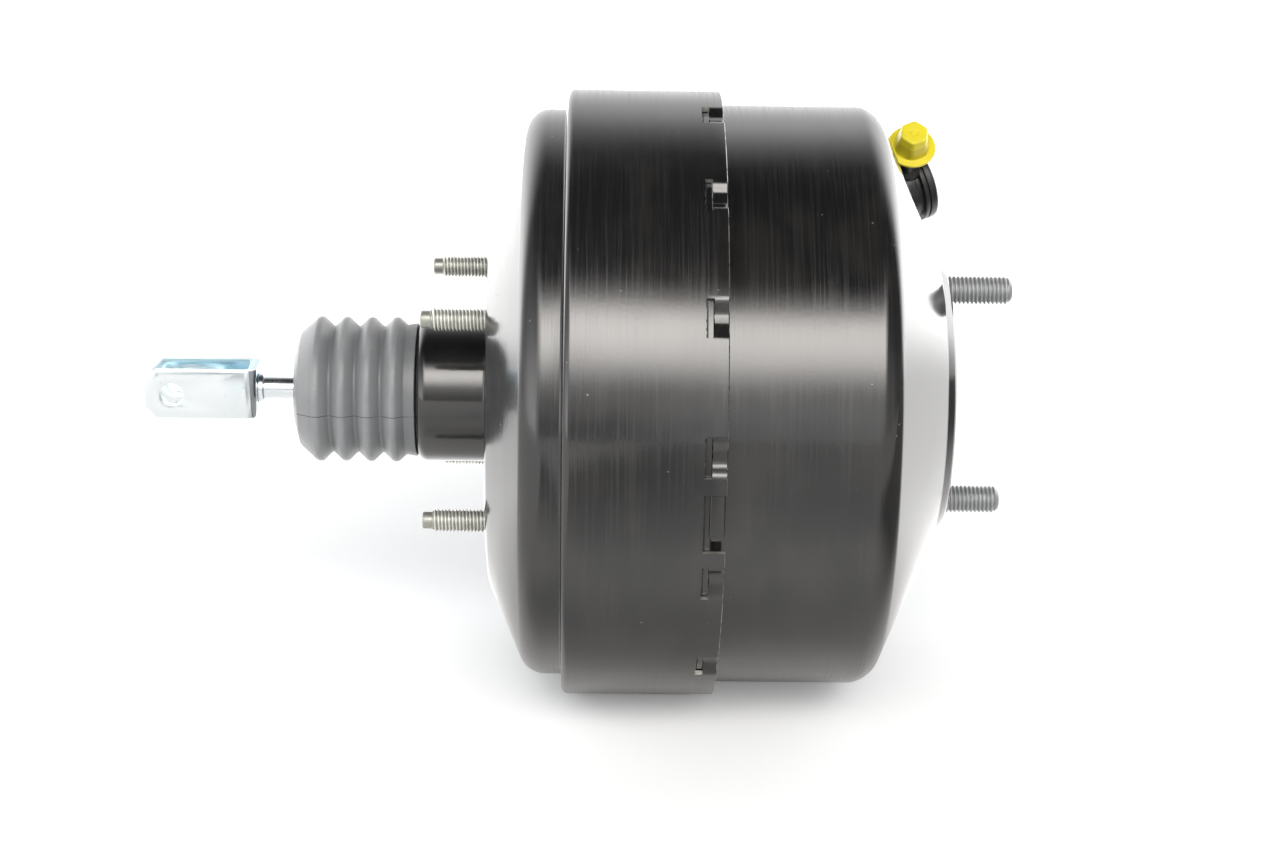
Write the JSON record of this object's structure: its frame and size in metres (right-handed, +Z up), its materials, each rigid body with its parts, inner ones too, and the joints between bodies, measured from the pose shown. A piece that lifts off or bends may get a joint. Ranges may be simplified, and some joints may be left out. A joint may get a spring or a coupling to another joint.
{
  "type": "brake booster",
  "caption": "Tandem vacuum brake booster: crimped drum casing with neck, dust boot, input rod and fork at the pedal side, studs on both faces and a capped check valve.",
  "frame": {"origin": "centre of the flat face that bolts to the bulkhead, on the booster's axis", "axes": "+X along the booster's axis towards the master cylinder, -X towards the pedal, +Z up across the two master cylinder studs"},
  "size_m": [0.3121, 0.2192, 0.2192],
  "materials": {
    "black_paint": "gloss black paint on drawn steel",
    "bright_zinc": "bright zinc plating",
    "stud_zinc": "dull zinc plated thread",
    "inner_steel": "pressed or turned steel",
    "spring_steel": "oiled spring wire",
    "boot_rubber": "matt grey moulded rubber",
    "black_rubber": "moulded black rubber",
    "valve_resin": "glass filled moulding",
    "black_plastic": "moulded black plastic",
    "white_plastic": "natural acetal",
    "yellow_cap": "thin moulded polyethylene",
    "filter_foam": "open foam and felt"
  },
  "bodies": {
    "housing": {"rear_shell": "black_paint", "front_shell": "black_paint", "firewall_studs": "stud_zinc", "master_cylinder_studs": "stud_zinc", "stud_backing_plate": "inner_steel", "front_stud_plate": "inner_steel", "neck_bearing": "white_plastic", "neck_seal": "black_rubber", "centre_plate": "inner_steel", "centre_plate_seal": "black_rubber", "front_spring_seat": "inner_steel", "return_spring": "spring_steel", "dust_boot": "boot_rubber", "valve_grommet": "black_rubber"},
    "power_piston": {"valve_body": "valve_resin", "rear_support_plate": "inner_steel", "front_support_plate": "inner_steel", "rear_diaphragm": "black_rubber", "front_diaphragm": "black_rubber", "plate_lock_ring": "inner_steel", "stop_key": "inner_steel", "poppet_valve": "black_rubber", "poppet_retainer": "inner_steel", "poppet_spring": "spring_steel", "input_return_spring": "spring_steel", "air_filter": "filter_foam", "silencer": "filter_foam", "reaction_disc": "black_rubber", "output_rod": "inner_steel", "output_rod_retainer": "inner_steel", "output_rod_tip": "inner_steel"},
    "air_valve": {"plunger": "inner_steel"},
    "input_rod": {"input_rod": "bright_zinc", "rod_spring_seat": "inner_steel", "clevis": "bright_zinc"},
    "vacuum_valve": {"check_valve_base": "black_plastic", "check_valve_cover": "black_plastic", "check_spring": "spring_steel"},
    "check_disc": {"check_disc": "black_rubber"},
    "transport_cap": {"transport_cap": "yellow_cap"}
  },
  "joints": [
    {"name": "pedal_stroke", "type": "slide", "parent": "housing", "child": "power_piston", "axis": [1, 0, 0], "range_m": [0, 0.03], "stiffness_N_per_m": 1500, "springref_m": -0.05, "deforming": ["dust_boot", "return_spring", "rear_diaphragm", "front_diaphragm"]},
    {"name": "valve_travel", "type": "slide", "parent": "power_piston", "child": "air_valve", "axis": [1, 0, 0], "range_m": [0, 0.0015], "stiffness_N_per_m": 2000, "springref_m": -0.01, "deforming": ["input_return_spring", "poppet_valve", "poppet_spring"]},
    {"name": "rod_tilt", "type": "hinge", "parent": "air_valve", "child": "input_rod", "pos_m": [-0.005, 0, 0], "axis": [0, 1, 0], "range_deg": [-2, 2]},
    {"name": "valve_swivel", "type": "hinge", "parent": "housing", "child": "vacuum_valve", "pos_m": [0.14466, 0.06067, 0.06067], "axis": [0.9121, 0.2899, 0.2899], "range_deg": [-60, 60]},
    {"name": "check_lift", "type": "slide", "parent": "vacuum_valve", "child": "check_disc", "axis": [0.9121, 0.2899, 0.2899], "range_m": [0, 0.001], "stiffness_N_per_m": 60, "springref_m": -0.002, "deforming": ["check_spring"]},
    {"name": "cap_pull", "type": "slide", "parent": "vacuum_valve", "child": "transport_cap", "axis": [0, -0.7071, 0.7071], "range_m": [0, 0.03]}
  ]
}
